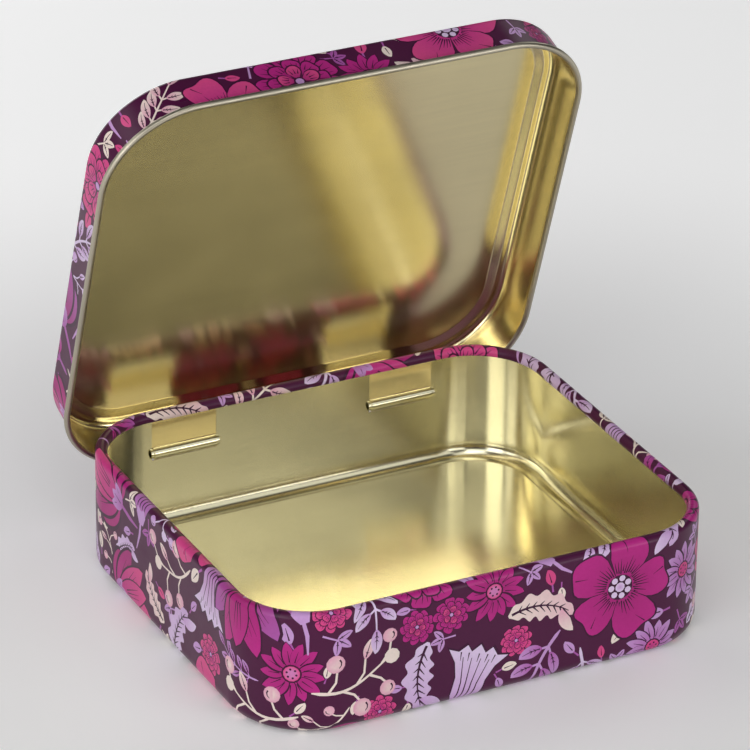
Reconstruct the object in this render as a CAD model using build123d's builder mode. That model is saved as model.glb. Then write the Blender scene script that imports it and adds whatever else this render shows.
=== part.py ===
"""Hinged sewing tin: two pressed tinplate shells joined by two rolled tongue hinges.

Frame: millimetres, +Z up, +X to the right, -Y to the front where the lid opens.
The origin is the centre of the foot plane, and the lid stands part open.
"""
from build123d import *
import os
from math import cos, radians, sin, tan

# ---------------------------------------------------------------- driving dimensions
sheet = 0.25                # tinplate thickness

base_length = 120.0         # left to right, over the walls
base_depth = 109.0          # front to back, over the walls
base_height = 31.5          # foot to the top of the rim roll
base_corner_r = 20.0        # plan radius of the outside corners
base_foot_r = 3.6           # outside radius between wall and foot
base_rim_r = 1.5            # outside radius of the inward rim roll
base_rim_flats = 7          # short flats that the roll is pressed in
base_rim_turn = 210.0       # degrees that the rim is rolled through

foot_width = 0.7            # flat ring that the tin stands on
floor_lift = 1.0            # the floor panel's height above the foot
floor_step_angle = 45.0     # slope of the step up to the floor panel

lid_side_gap = 1.35         # between the base wall and the lid's skirt
lid_rim_r = 0.8             # outside radius of the lid's edge, rolled outwards
lid_rim_flats = 7
lid_rim_turn = 295.0
lid_edge_r = 2.0            # outside radius between skirt and shoulder
bend_flats = 6              # short flats that the foot's and the lid's edge bends are drawn in
lid_top_gap = 0.6           # between the closed lid's shoulder and the base rim
shoulder_width = 0.9        # flat ledge between the skirt radius and the raised panel
panel_lift = 0.8            # the lid panel's height above its shoulder
panel_step_angle = 20.0     # slope of the step up to the lid panel

hinge_drop = 12.3           # the hinge axis's depth below the rim
hinge_spacing = 59.0        # between the centres of the two hinges
lid_edge_rise = 0.7         # the closed lid's edge above the hinge axis
tongue_width = 16.6
tongue_turn = 290.0         # degrees that a tongue is rolled round its bar
tongue_bend_r = 0.5         # inside radius where a tongue leaves the skirt
tongue_root = 0.5           # length of tongue that lies in the skirt above its notch
bar_r = 1.25                # outside radius of the hollow bar left in the rear wall
bar_root = 0.5              # length of bar that runs into the wall at each end
bar_clearance = 0.05        # running clearance between bar and rolled tongue
window_side_gap = 0.3       # beside the tongue
window_low_gap = 0.3        # under the rolled tongue
window_head = 0.3           # wall left between the window and the rim roll
notch_side_gap = 0.3        # between a bar's root and the end of the lid's rolled edge
notch_head = 0.5            # plain skirt above that edge, over a tongue

lid_open_angle = 71.7       # from closed to the modelled pose

# ---------------------------------------------------------------- sizes that follow
lid_overhang = lid_side_gap + sheet
lid_length = base_length + 2 * lid_overhang
lid_depth = base_depth + 2 * lid_overhang
lid_corner_r = base_corner_r + lid_overhang

hinge_y = base_depth / 2 - sheet / 2
hinge_z = base_height - hinge_drop
hinge_axis = Axis((0, hinge_y, hinge_z), (1, 0, 0))
hinge_centres = [-hinge_spacing / 2, hinge_spacing / 2]

lid_edge_z = hinge_z + lid_edge_rise
shoulder_z = base_height + lid_top_gap + sheet
skirt_height = shoulder_z - lid_edge_z

roll_r = bar_r + bar_clearance + sheet
window_width = tongue_width + 2 * window_side_gap
window_foot_z = hinge_z - roll_r - window_low_gap
window_head_z = base_height - 2 * base_rim_r - window_head
notch_width = window_width + 2 * (bar_root + notch_side_gap)

foot_inset = base_foot_r + foot_width
floor_inset = foot_inset + floor_lift / tan(radians(floor_step_angle))
shoulder_inset = lid_edge_r + shoulder_width
panel_inset = shoulder_inset + panel_lift / tan(radians(panel_step_angle))
panel_overlap = 2.0         # flat panel drawn with its rim ring, so that the two join


def rolled_edge(radius, turn, flats, height, start=0.0):
    """Points of a sheet edge rolled from the wall line X = start at a height.

    A positive radius rolls it inwards (+X) over the top, a negative one outwards under the foot.
    """
    angles = [radians(180 - turn * i / flats) for i in range(flats + 1)]
    return [(start + radius + radius * cos(a), height + radius * sin(a)) for a in angles]


def hinge_plane(x):
    """Section plane across the hinge axis at x: outwards to the rear, then up."""
    return Plane(origin=(x, hinge_y, hinge_z), x_dir=(0, 1, 0), z_dir=(1, 0, 0))


def pressed_ring(profile, length, depth, corner_r):
    """Carry a profile round a rounded rectangle: its X runs inwards, its Y up."""
    front = Plane(origin=(0, -depth / 2, 0), x_dir=(0, 1, 0), z_dir=(1, 0, 0))
    side = Plane(origin=(length / 2, 0, 0), x_dir=(-1, 0, 0), z_dir=(0, 1, 0))
    corner_x = length / 2 - corner_r
    corner_y = depth / 2 - corner_r
    with BuildPart() as ring:
        with BuildSketch(front):
            add(profile)
        extrude(amount=corner_x)
        with BuildSketch(front.offset(corner_x)):
            add(profile)
        revolve(axis=Axis((corner_x, -corner_y, 0), (0, 0, 1)), revolution_arc=90)
        with BuildSketch(side):
            add(profile)
        extrude(amount=-corner_y)
        mirror(about=Plane.YZ)
        mirror(about=Plane.XZ)
    return ring.part


# ---------------------------------------------------------------- base shell
with BuildSketch() as base_profile:
    with BuildLine():
        foot = rolled_edge(base_foot_r, -90, bend_flats, base_foot_r)
        rim = rolled_edge(base_rim_r, base_rim_turn, base_rim_flats, base_height - base_rim_r)
        Polyline(
            (floor_inset + panel_overlap, floor_lift),
            (floor_inset, floor_lift),
            (foot_inset, 0),
            *reversed(foot),
            *rim,
        )
        offset(amount=sheet, kind=Kind.INTERSECTION, side=Side.RIGHT)
    make_face()

with BuildPart() as tin_base:
    add(pressed_ring(base_profile.sketch, base_length, base_depth, base_corner_r))
    with BuildSketch(Plane.XY.offset(floor_lift)):
        RectangleRounded(
            base_length - 2 * floor_inset,
            base_depth - 2 * floor_inset,
            base_corner_r - floor_inset,
        )
    extrude(amount=sheet)

    # windows in the rear wall, with a hollow bar left across each
    for x in hinge_centres:
        with BuildSketch(Plane(origin=(x, base_depth / 2, 0), x_dir=(-1, 0, 0), z_dir=(0, 1, 0))):
            with Locations((0, (window_foot_z + window_head_z) / 2)):
                Rectangle(window_width, window_head_z - window_foot_z)
        extrude(amount=-2 * sheet, mode=Mode.SUBTRACT)
        with BuildSketch(hinge_plane(x)):
            Circle(bar_r)
            Circle(bar_r - sheet, mode=Mode.SUBTRACT)
        extrude(amount=window_width / 2 + bar_root, both=True)
tin_base.part.label = "tin_base"

# ---------------------------------------------------------------- lid shell, drawn closed
with BuildSketch() as lid_profile:
    with BuildLine():
        edge = rolled_edge(lid_edge_r, 90, bend_flats, skirt_height - lid_edge_r)
        Polyline(
            (panel_inset + panel_overlap, skirt_height + panel_lift),
            (panel_inset, skirt_height + panel_lift),
            (shoulder_inset, skirt_height),
            *reversed(edge),
            (0, lid_rim_r),
        )
        offset(amount=sheet, kind=Kind.INTERSECTION, side=Side.LEFT)
    make_face()
    roll_inside = rolled_edge(sheet - lid_rim_r, lid_rim_turn, lid_rim_flats, lid_rim_r)
    roll_outside = rolled_edge(-lid_rim_r, lid_rim_turn, lid_rim_flats, lid_rim_r, sheet)
    Polygon(*roll_inside, *reversed(roll_outside), align=None)

# rolled tongue, in section: down the skirt, in over the bar and round it
with BuildSketch() as tongue_profile:
    with BuildLine():
        skirt_inside = base_depth / 2 + lid_overhang - sheet - hinge_y
        notch_top = lid_edge_rise + 2 * lid_rim_r + notch_head
        drop = Line(
            (skirt_inside, notch_top + tongue_root),
            (skirt_inside, roll_r + tongue_bend_r),
        )
        turn_in = JernArc(drop @ 1, drop % 1, tongue_bend_r, -90)
        neck = Line(turn_in @ 1, (0, roll_r))
        JernArc(neck @ 1, neck % 1, roll_r, tongue_turn)
        offset(amount=sheet, kind=Kind.INTERSECTION, side=Side.RIGHT)
    make_face()

with BuildPart() as closed_lid:
    ring = pressed_ring(lid_profile.sketch, lid_length, lid_depth, lid_corner_r)
    add(ring.moved(Location((0, 0, lid_edge_z))))
    with BuildSketch(Plane.XY.offset(shoulder_z + panel_lift - sheet)):
        RectangleRounded(
            lid_length - 2 * panel_inset,
            lid_depth - 2 * panel_inset,
            lid_corner_r - panel_inset,
        )
    extrude(amount=sheet)
    for x in hinge_centres:
        with BuildSketch(hinge_plane(x)):
            with Locations((skirt_inside + lid_rim_r, notch_top)):
                Rectangle(2 * (lid_rim_r + sheet), notch_top, align=(Align.CENTER, Align.MAX))
        extrude(amount=notch_width / 2, both=True, mode=Mode.SUBTRACT)
        with BuildSketch(hinge_plane(x)):
            add(tongue_profile.sketch)
        extrude(amount=tongue_width / 2, both=True)

with BuildPart() as tin_lid:
    add(closed_lid.part.rotate(hinge_axis, -lid_open_angle))
tin_lid.part.label = "tin_lid"

# ---------------------------------------------------------------- one STEP file per piece
os.makedirs("parts", exist_ok=True)
export_step(tin_base.part, "parts/tin_base.step")
export_step(tin_lid.part, "parts/tin_lid.step")
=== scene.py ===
"""Looks of the hinged sewing tin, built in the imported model's frame.

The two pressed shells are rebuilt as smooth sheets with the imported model's sizes, and the outer
faces carry a printed skin. Millimetres are used up to each mesh, which is made in metres.
"""
import math
import random

import bmesh
import bpy
import numpy as np
from mathutils import Matrix, Vector
from mathutils.geometry import delaunay_2d_cdt


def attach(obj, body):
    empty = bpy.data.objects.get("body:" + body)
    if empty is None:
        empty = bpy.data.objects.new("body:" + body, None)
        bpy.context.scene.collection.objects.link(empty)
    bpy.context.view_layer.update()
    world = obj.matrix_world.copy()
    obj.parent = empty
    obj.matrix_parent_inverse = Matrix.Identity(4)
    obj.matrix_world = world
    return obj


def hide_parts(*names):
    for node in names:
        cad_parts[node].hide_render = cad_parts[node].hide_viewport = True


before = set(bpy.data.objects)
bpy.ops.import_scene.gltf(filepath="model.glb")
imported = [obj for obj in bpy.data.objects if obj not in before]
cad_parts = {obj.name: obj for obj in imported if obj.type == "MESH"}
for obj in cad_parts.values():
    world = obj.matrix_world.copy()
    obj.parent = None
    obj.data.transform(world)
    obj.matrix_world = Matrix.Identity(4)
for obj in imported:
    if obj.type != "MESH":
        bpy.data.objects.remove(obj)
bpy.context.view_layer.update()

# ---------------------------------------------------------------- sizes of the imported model, mm
SHEET = 0.25
BASE_L, BASE_D, BASE_H = 120.0, 109.0, 31.5
BASE_R, FOOT_R, RIM_R, RIM_TURN = 20.0, 3.6, 1.5, 210.0
FLOOR_LIFT, FLOOR_SLOPE, FLOOR_STEP_IN = 1.0, 45.0, 4.8
LID_OVER, LID_RIM_R, LID_RIM_TURN, LID_EDGE_R = 1.6, 0.8, 295.0, 2.0
LID_L, LID_D, LID_R = BASE_L + 2 * LID_OVER, BASE_D + 2 * LID_OVER, BASE_R + LID_OVER
PANEL_LIFT, PANEL_SLOPE, SHOULDER_IN = 0.8, 20.0, 2.9
HINGE_Y, HINGE_Z, HINGE_X = 54.375, 19.2, 29.5
LID_EDGE_Z, SKIRT_H = 19.9, 12.45
WINDOW_W, WINDOW_LOW, WINDOW_HIGH = 17.2, 17.35, 28.2
NOTCH_W, NOTCH_TOP, TONGUE_W, TONGUE_TURN = 18.8, 22.0, 16.6, 290.0
BAR_R, BAR_ROOT, ROLL_R, TONGUE_BEND = 1.25, 0.5, 1.55, 0.5
OPEN = math.radians(71.7)

# ---------------------------------------------------------------- values of the visual model, mm
MM = 0.001                     # metres in a millimetre
CURL_R = 0.78                  # the smooth roll drawn for the lid's flat-sided one
COAT, COAT_GAP = 0.03, 0.01    # room for the printed coat in the sheet's outer side, and the gap behind it
FLOOR_BEND, PANEL_BEND = 0.55, 1.6    # radii of the bends in the steps of the floor and the lid's panel
PANEL_EDGE = 2.5               # flat panel drawn with each section
PANEL_MARGIN, PANEL_CORNER = 1.5, 12.0   # how far grid points stay inside a panel's outline
GRID_GAP = 4.0                 # between a panel's grid points
ROW_SHARE = 0.866              # of that gap, between rows of grid points that form even triangles
JOIN = 1e-7                    # metres within which two points of a mesh count as one
WAVES, FADE = 6, 14.0          # of a panel's unevenness: waves added up, and the width it fades out over
BASE_WAVE, LID_WAVE = (0.05, 3), (0.06, 7)   # height and seed of each panel's unevenness
# short flats in the rounded parts, the same for sheet and print
CORNER_PARTS, FOOT_PARTS, RIM_PARTS, EDGE_PARTS, CURL_PARTS, BEND_PARTS = 24, 16, 24, 14, 22, 5
WALL_PARTS = 4                 # rows of faces in each part of a wall that a hinge opening ends
STATION_GAP = 6.0              # the most between stations along a straight side
SHARP, SHELL_SHARP = math.radians(30), math.radians(35)   # edges sharper than this aren't shaded smooth


# ---------------------------------------------------------------- section lines
class Section:
    """A sheet's middle line, drawn like a turtle: points, headings and run length."""

    def __init__(self, start, heading):
        self.at = np.array(start, float)
        self.heading = math.radians(heading)
        self.points = [self.at.copy()]
        self.headings = [self.heading]

    def line(self, length, parts=1):
        """Go straight on, in equal parts."""
        step = np.array([math.cos(self.heading), math.sin(self.heading)]) * length / parts
        for _ in range(parts):
            self.at = self.at + step
            self.points.append(self.at.copy())
            self.headings.append(self.heading)
        return self

    def arc(self, radius, turn, parts):
        """Turn left by a positive angle in degrees, right by a negative one."""
        side = 1 if turn > 0 else -1
        centre = self.at + radius * side * np.array([-math.sin(self.heading), math.cos(self.heading)])
        first = self.heading
        for i in range(1, parts + 1):
            h = first + math.radians(turn) * i / parts
            self.at = centre - radius * side * np.array([-math.sin(h), math.cos(h)])
            self.points.append(self.at.copy())
            self.headings.append(h)
        self.heading = first + math.radians(turn)
        return self

    def arrays(self):
        """Points, left normals and run length from the start."""
        p = np.array(self.points)
        h = np.array(self.headings)
        n = np.stack([-np.sin(h), np.cos(h)], 1)
        return p, n, run_along(p)


def angles(count, start=0.0):
    """Angles spread evenly over a full turn."""
    return [start + 2 * math.pi * k / count for k in range(count)]


def run_along(points):
    """Length of the line through the points, up to each of them."""
    return np.concatenate([[0], np.cumsum(np.linalg.norm(np.diff(points, axis=0), axis=1))])


def panel_step(middle, height, drop, slope, bend):
    """A section from the flat panel inside down its rounded step, and the inset where the step ends."""
    a = math.radians(slope)
    straight = (drop - 2 * bend * (1 - math.cos(a))) / math.sin(a)
    reach = 2 * bend * math.sin(a) + straight * math.cos(a)
    s = Section((middle + reach / 2 + PANEL_EDGE, height), 180)
    s.line(PANEL_EDGE, 3).arc(bend, slope, BEND_PARTS).line(straight, 2).arc(bend, -slope, BEND_PARTS)
    return s, middle - reach / 2


def base_section():
    """From the floor panel out to the wall and round the rim, with the rows where the windows start and end.

    Its left side is the outer face.
    """
    s, inset = panel_step(FLOOR_STEP_IN, FLOOR_LIFT + SHEET / 2, FLOOR_LIFT, FLOOR_SLOPE, FLOOR_BEND)
    s.line(inset - FOOT_R).arc(FOOT_R - SHEET / 2, -90, FOOT_PARTS)
    low_row = len(s.points) - 1 + WALL_PARTS
    s.line(WINDOW_LOW - FOOT_R, WALL_PARTS).line(WINDOW_HIGH - WINDOW_LOW, WALL_PARTS)
    s.line(BASE_H - RIM_R - FOOT_R - (WINDOW_HIGH - FOOT_R)).arc(RIM_R - SHEET / 2, -RIM_TURN, RIM_PARTS)
    return s.arrays(), (low_row, low_row + WALL_PARTS)


def lid_section():
    """From the raised panel out to the skirt and its outward roll, with the row where the notches start.

    Its right side is the outer face.
    """
    middle = SHOULDER_IN + PANEL_LIFT / math.tan(math.radians(PANEL_SLOPE)) / 2
    s, inset = panel_step(middle, SKIRT_H + PANEL_LIFT - SHEET / 2, PANEL_LIFT, PANEL_SLOPE, PANEL_BEND)
    s.line(inset - LID_EDGE_R, 2).arc(LID_EDGE_R - SHEET / 2, 90, EDGE_PARTS)
    notch = NOTCH_TOP - LID_EDGE_Z
    s.line(SKIRT_H - LID_EDGE_R - notch, WALL_PARTS)
    notch_row = len(s.points) - 1
    s.line(notch - LID_RIM_R).arc(CURL_R - SHEET / 2, -LID_RIM_TURN, CURL_PARTS)
    return s.arrays(), notch_row


# ---------------------------------------------------------------- plan
def opening_ends(width):
    """The x of both ends of each opening at the hinges."""
    return [s * HINGE_X + e * width / 2 for s in (-1, 1) for e in (-1, 1)]


class RoundedPath:
    """The way round a rounded rectangle, anticlockwise from its rear middle, told by run length."""

    def __init__(self, length, depth, corner):
        hx, hy, quarter = length / 2 - corner, depth / 2 - corner, math.pi / 2 * corner
        self.corner, self.quarter = corner, quarter
        self.total = 4 * hx + 4 * hy + 4 * quarter
        # straight legs have a way and an outward direction, turns have the angle at which they start
        self.legs = ((hx, (0, depth / 2), (-1, 0), (0, 1)), (quarter, (-hx, hy), 90, None),
                     (2 * hy, (-length / 2, hy), (0, -1), (-1, 0)), (quarter, (-hx, -hy), 180, None),
                     (2 * hx, (-hx, -depth / 2), (1, 0), (0, -1)), (quarter, (hx, -hy), 270, None),
                     (2 * hy, (length / 2, -hy), (0, 1), (1, 0)), (quarter, (hx, hy), 0, None),
                     (hx, (hx, depth / 2), (-1, 0), (0, 1)))
        self.starts = np.cumsum([0.0] + [leg[0] for leg in self.legs[:-1]])

    def walk(self, runs):
        """The point on the path and its outward direction at each run."""
        s = np.mod(runs, self.total)
        points, outs = np.zeros((len(s), 2)), np.zeros((len(s), 2))
        for at, (span, start, way, out) in zip(self.starts, self.legs):
            here = (s >= at) & (s <= at + span + 1e-9)
            f = s[here] - at
            if out:
                points[here] = np.array(start) + f[:, None] * np.array(way)
                outs[here] = out
            else:
                a = math.radians(way) + f / self.corner
                outs[here] = np.stack([np.cos(a), np.sin(a)], 1)
                points[here] = np.array(start) + self.corner * outs[here]
        return points, outs

    def stations(self, rear_cuts):
        """Points and outward directions all round, and at the rear side's cuts, which are x values."""
        cuts = sorted(-x % self.total for x in rear_cuts)
        runs = []
        for at, (span, _, _, out) in zip(self.starts, self.legs):
            marks = [at, *(c for c in cuts if at < c < at + span), at + span]
            for r0, r1 in zip(marks, marks[1:]):
                n = math.ceil((r1 - r0) / STATION_GAP) if out else CORNER_PARTS
                runs += [r0 + (r1 - r0) * i / n for i in range(n)]
        return self.walk(np.array(runs))


def open_lid(points, hinge=(HINGE_Y, HINGE_Z)):
    """Turn the closed lid's points about the hinge line to the open pose. Directions turn about zero."""
    q = np.array(points, float)
    y, z = q[:, 1] - hinge[0], q[:, 2] - hinge[1]
    c, s = math.cos(OPEN), math.sin(OPEN)
    q[:, 1] = hinge[0] + y * c + z * s
    q[:, 2] = hinge[1] - y * s + z * c
    return q


# ---------------------------------------------------------------- meshes
def make_mesh(name, points, faces, materials, indices=None):
    """An object in the scene from points in millimetres, shaded smooth but for its sharp edges."""
    mesh = bpy.data.meshes.new(name)
    mesh.from_pydata((np.asarray(points) * MM).tolist(), [], faces)
    for m in materials:
        mesh.materials.append(m)
    if indices is not None:
        mesh.polygons.foreach_set("material_index", indices)
    mesh.polygons.foreach_set("use_smooth", [True] * len(mesh.polygons))
    mesh.set_sharp_from_angle(angle=SHARP)
    mesh.update()
    obj = bpy.data.objects.new(name, mesh)
    bpy.context.scene.collection.objects.link(obj)
    return obj


BASE, LID = ("base", "tin_base"), ("lid", "tin_lid")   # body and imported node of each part


def carry(obj, body, node, slot):
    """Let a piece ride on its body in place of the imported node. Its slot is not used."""
    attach(obj, body)
    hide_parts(node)


def panel_lift(x, y, half_x, half_y, height, seed):
    """Unevenness of a pressed panel, which fades out towards the panel's ends at half_x and half_y."""
    r = random.Random(seed)
    total = 0
    for _ in range(WAVES):
        a, w, phase = r.uniform(0, math.pi), 2 * math.pi / r.uniform(28, 70), r.uniform(0, 6)
        total = total + np.sin(w * (x * math.cos(a) + y * math.sin(a)) + phase)
    fade = np.clip(np.minimum(half_x - np.abs(x), half_y - np.abs(y)) / FADE, 0, 1)
    return fade * fade * (3 - 2 * fade) * (height * (total / WAVES))


def inside_round(x, y, half_x, half_y, r):
    """Whether a point lies inside a rounded rectangle about the origin."""
    dx, dy = abs(x) - (half_x - r), abs(y) - (half_y - r)
    if dx <= 0 or dy <= 0:
        return dx <= r and dy <= r
    return dx * dx + dy * dy <= r * r


def panel_grid(outline):
    """Points and triangles inside a panel's outline, with grid points that carry its unevenness."""
    low, high = np.array(outline).min(0), np.array(outline).max(0)
    centre = (low + high) / 2
    half = high - centre - PANEL_MARGIN
    points = list(outline)
    y = low[1] + GRID_GAP
    row = 0
    while y < high[1] - PANEL_MARGIN:
        x = low[0] + GRID_GAP + (row % 2) * GRID_GAP / 2
        while x < high[0] - PANEL_MARGIN:
            if inside_round(x - centre[0], y - centre[1], half[0], half[1], PANEL_CORNER):
                points.append(Vector((x, y)))
            x += GRID_GAP
        y += GRID_GAP * ROW_SHARE
        row += 1
    verts, _, triangles, _, _, _ = delaunay_2d_cdt(points, [], [list(range(len(outline)))], 1, 1e-6)
    return np.array([[q.x, q.y] for q in verts]), triangles


def around(i, j):
    """A cell's four corners in order, as (row, column)."""
    return (i, j), (i, j + 1), (i + 1, j + 1), (i + 1, j)


def shell(name, section, stations, up, holes, place, wave, materials, pick):
    """A sheet of two layers: the section carried round the stations, with its panel filled in.

    It isn't quite closed: at the panel's corners some edges stay open, with their points up to 0.0033 mm
    apart in the base. The faces of cut edges are wound the other way round from those of the layers.

    up is +1 where the section's left is the outer face and -1 where its right is. holes are the cells
    (row, station) left open, place moves the finished points, and wave is the height and seed of the
    panel's unevenness. pick gives the material index of a face from its side (0 outer, 1 inner, 2 cut
    edge) and row.
    """
    p, n, _ = section
    walls, outs = stations
    rows, cols = len(p), len(walls)
    offsets = (SHEET / 2 - COAT, -SHEET / 2)
    layers = []
    for offset in offsets:
        q = p + n * up * offset
        xy = walls[None, :, :] - outs[None, :, :] * q[:, 0][:, None, None]
        z = np.repeat(q[:, 1][:, None], cols, 1)
        layers.append(np.concatenate([xy, z[:, :, None]], 2).reshape(-1, 3))
    verts = np.concatenate(layers)
    faces, indices = [], []

    def vertex(layer, i, j):
        return (layer * rows + i) * cols + j % cols

    def gone(i, j):
        return i < 0 or i >= rows - 1 or (i, j % cols) in holes

    for i in range(rows - 1):
        for j in range(cols):
            if gone(i, j):
                continue
            a, b, c, d = around(i, j)
            faces.append([vertex(0, *corner) for corner in (a, b, c, d)][::up])
            faces.append([vertex(1, *corner) for corner in (a, d, c, b)][::up])
            indices += [pick(0, i), pick(1, i)]
            for di, dj, e, f in ((1, 0, d, c), (-1, 0, b, a), (0, 1, c, b), (0, -1, a, d)):
                if gone(i + di, j + dj) and i + di >= 0:
                    faces.append([vertex(0, *e), vertex(0, *f), vertex(1, *f), vertex(1, *e)][::-up])
                    indices.append(pick(2, i))
    # the panel inside the first row
    flat, triangles = panel_grid([Vector(verts[vertex(0, 0, j)][:2]) for j in range(cols)])
    half_x, half_y = np.abs(walls).max(0) - p[0][0]
    lift = panel_lift(flat[:, 0], flat[:, 1], half_x, half_y, *wave)
    for layer, (offset, way) in enumerate(zip(offsets, (-up, up))):
        start = len(verts)
        z = p[0][1] + n[0][1] * up * offset + lift
        verts = np.concatenate([verts, np.concatenate([flat, z[:, None]], 1)])
        faces += [[start + k for k in f][::way] for f in triangles]
        indices += [pick(layer, -1)] * len(triangles)
    obj = make_mesh(name, place(verts), faces, materials, indices)
    bm = bmesh.new()
    bm.from_mesh(obj.data)
    bmesh.ops.remove_doubles(bm, verts=bm.verts, dist=JOIN)
    bmesh.ops.delete(bm, geom=[w for w in bm.verts if not w.link_faces], context="VERTS")
    bm.to_mesh(obj.data)
    bm.free()
    obj.data.set_sharp_from_angle(angle=SHELL_SHARP)
    return obj


def strip(name, section, x_mid, width, place, material, parts=6):
    """A closed strip of sheet: the section, drawn across the hinge line, carried along X."""
    p, n, _ = section
    xs = np.linspace(x_mid - width / 2, x_mid + width / 2, parts + 1)
    rows, cols = len(p), len(xs)
    layers = []
    for offset in (SHEET / 2, -SHEET / 2):
        q = p + n * offset
        g = np.zeros((rows, cols, 3))
        g[:, :, 0] = xs
        g[:, :, 1] = HINGE_Y + q[:, :1]
        g[:, :, 2] = HINGE_Z + q[:, 1:]
        layers.append(g.reshape(-1, 3))

    def vertex(layer, i, j):
        return (layer * rows + i) * cols + j

    faces = []
    for i in range(rows - 1):
        for j in range(cols - 1):
            a, b, c, d = around(i, j)
            faces.append([vertex(0, *corner) for corner in (a, b, c, d)])
            faces.append([vertex(1, *corner) for corner in (a, d, c, b)])
    rim = [(i, 0) for i in range(rows)] + [(rows - 1, j) for j in range(1, cols)]
    rim += [(i, cols - 1) for i in range(rows - 2, -1, -1)] + [(0, j) for j in range(cols - 2, 0, -1)]
    for a, b in zip(rim, rim[1:] + rim[:1]):
        faces.append([vertex(0, *a), vertex(0, *b), vertex(1, *b), vertex(1, *a)])
    return make_mesh(name, place(np.concatenate(layers)), faces, [material])


def tube(name, x_mid, width, outer, inner, material, parts=40):
    """A hollow bar along the hinge line."""
    points, faces = [], []
    for x in (x_mid - width / 2, x_mid + width / 2):
        for r in (outer, inner):
            for a in angles(parts):
                points.append((x, HINGE_Y + r * math.cos(a), HINGE_Z + r * math.sin(a)))
    for i in range(parts):
        k = (i + 1) % parts
        lo, li, ro, ri = 0, parts, 2 * parts, 3 * parts
        faces += [[lo + i, lo + k, ro + k, ro + i], [li + i, ri + i, ri + k, li + k],
                  [lo + i, li + i, li + k, lo + k], [ro + i, ro + k, ri + k, ri + i]]
    return make_mesh(name, points, faces, [material])


# ---------------------------------------------------------------- materials
EVEN, ROLLED = (1, 1, 1), (0.025, 1.0, 1.0)   # noise alike all ways, and along lines of the rolled sheet


def feed(tree, node, inputs):
    """Set a node's inputs to plain values or link them to other nodes' outputs."""
    for key, value in inputs.items():
        if isinstance(value, bpy.types.NodeSocket):
            tree.links.new(value, node.inputs[key])
        else:
            node.inputs[key].default_value = value


def add_node(tree, kind, inputs, output=0, **settings):
    """The output of a new node with these inputs and settings."""
    node = tree.nodes.new(kind)
    for key, value in settings.items():
        setattr(node, key, value)
    feed(tree, node, inputs)
    return node.outputs[output]


def new_material(name):
    """A material, its node tree and its main shader."""
    m = bpy.data.materials.new(name)
    m.use_nodes = True
    return m, m.node_tree, m.node_tree.nodes["Principled BSDF"]


def object_space(tree):
    """Places in the object's own space."""
    return add_node(tree, "ShaderNodeTexCoord", {}, "Object")


def noise(tree, where, stretch, scale, detail, low, high):
    """Smooth noise, stretched by an axis triple and spread between two values."""
    place = add_node(tree, "ShaderNodeMapping", {"Vector": where, "Scale": stretch})
    cloud = add_node(tree, "ShaderNodeTexNoise", {"Vector": place, "Scale": scale, "Detail": detail}, "Fac")
    return add_node(tree, "ShaderNodeMapRange", {"Value": cloud, "From Min": 0.25, "From Max": 0.75,
                                                 "To Min": low, "To Max": high}, "Result")


def tinted(tree, colour, factor):
    """A colour times a varying factor."""
    return add_node(tree, "ShaderNodeVectorMath", {0: colour, "Scale": factor}, operation="SCALE")


def combine(tree, operation, a, b):
    """Two values added, multiplied or compared."""
    return add_node(tree, "ShaderNodeMath", {0: a, 1: b}, operation=operation)


def bumps(tree, height, distance):
    """A surface made uneven by a height between 0 and 1 that stands for a distance in metres."""
    inputs = {"Strength": 1.0, "Distance": distance, "Height": height}
    return add_node(tree, "ShaderNodeBump", inputs, "Normal")


def gold_material(name, colour):
    """Gold lacquer on rolled tinplate: cloudy coat, fine rolling lines, faint wipe marks."""
    m, tree, bsdf = new_material(name)
    where = object_space(tree)
    clouds = noise(tree, where, EVEN, 38.0, 3.0, 0.95, 1.05)
    lines = noise(tree, where, ROLLED, 900.0, 2.0, 0.97, 1.03)
    wiped = noise(tree, where, (0.2, 1, 1), 120.0, 4.0, -0.012, 0.02)
    blotches = noise(tree, where, EVEN, 55.0, 2.0, 0.16, 0.20)
    dents = noise(tree, where, EVEN, 30.0, 1.0, 0.0, 1.0)
    grain = noise(tree, where, ROLLED, 1500.0, 2.0, 0.0, 0.015)
    uneven = bumps(tree, combine(tree, "ADD", dents, grain), 0.00006)
    # the rolling lines blur a reflection across themselves more than along
    facing = add_node(tree, "ShaderNodeNewGeometry", {}, "True Normal")
    across = add_node(tree, "ShaderNodeVectorMath", {0: facing, 1: (1.0, 0.02, 0.03)},
                      operation="CROSS_PRODUCT")
    feed(tree, bsdf, {
        "Base Color": tinted(tree, colour, combine(tree, "MULTIPLY", clouds, lines)),
        "Metallic": 1.0,
        "Roughness": combine(tree, "ADD", wiped, blotches),
        "Anisotropic": 0.6,
        "Tangent": across,
        "Normal": uneven,
        "Coat Weight": 1.0,
        "Coat Roughness": 0.18,
        "Coat IOR": 1.5,
        "Coat Normal": uneven,
    })
    return m


def bare_material():
    """Unlacquered tinplate: grey, dull, with scuffs."""
    m, tree, bsdf = new_material("bare_tinplate")
    where = object_space(tree)
    feed(tree, bsdf, {
        "Base Color": tinted(tree, (0.46, 0.42, 0.33), noise(tree, where, EVEN, 60.0, 4.0, 0.9, 1.08)),
        "Metallic": 1.0,
        "Roughness": noise(tree, where, EVEN, 200.0, 4.0, 0.32, 0.48),
        "Normal": bumps(tree, noise(tree, where, ROLLED, 1200.0, 3.0, 0.0, 1.0), 0.000004),
    })
    return m


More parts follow.
